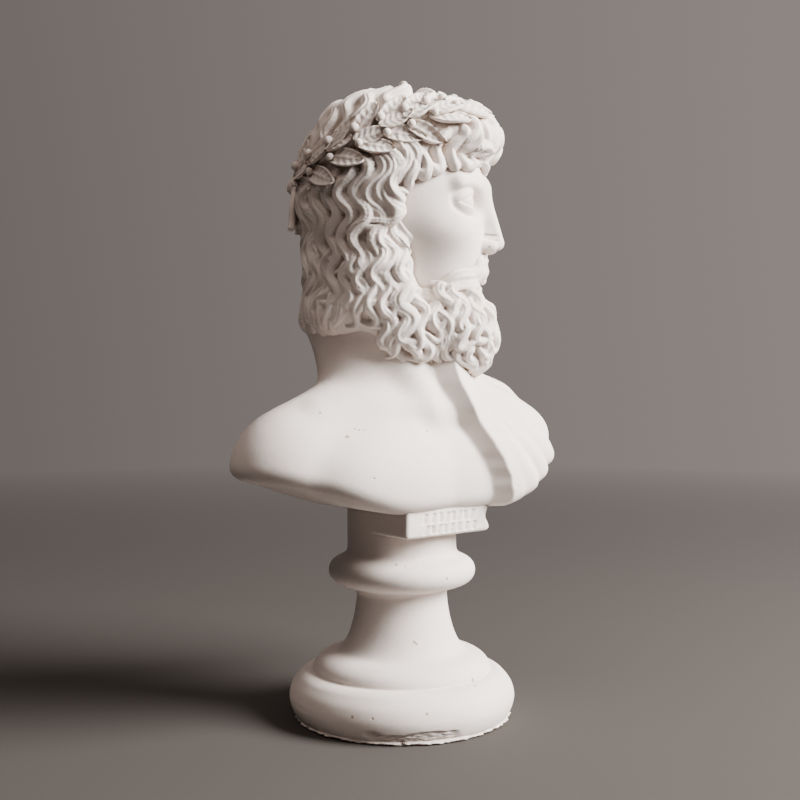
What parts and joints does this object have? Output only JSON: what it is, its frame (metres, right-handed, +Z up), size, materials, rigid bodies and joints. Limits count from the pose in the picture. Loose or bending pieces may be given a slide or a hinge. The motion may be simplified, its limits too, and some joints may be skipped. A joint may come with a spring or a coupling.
{
  "type": "portrait bust on a socle",
  "caption": "Cast plaster bust of a bearded, laurel-wreathed figure in a cloak, on a turned round socle, for standing on a flat surface.",
  "frame": {"origin": "centre of the socle's underside, on the socle's axis", "axes": "+Z up; the chest faces -Y, and the head is turned towards the figure's left shoulder, at +X"},
  "size_m": [0.153, 0.089, 0.249],
  "materials": {
    "plaster": null
  },
  "bodies": {
    "root": {"bust": "plaster"}
  },
  "joints": []
}
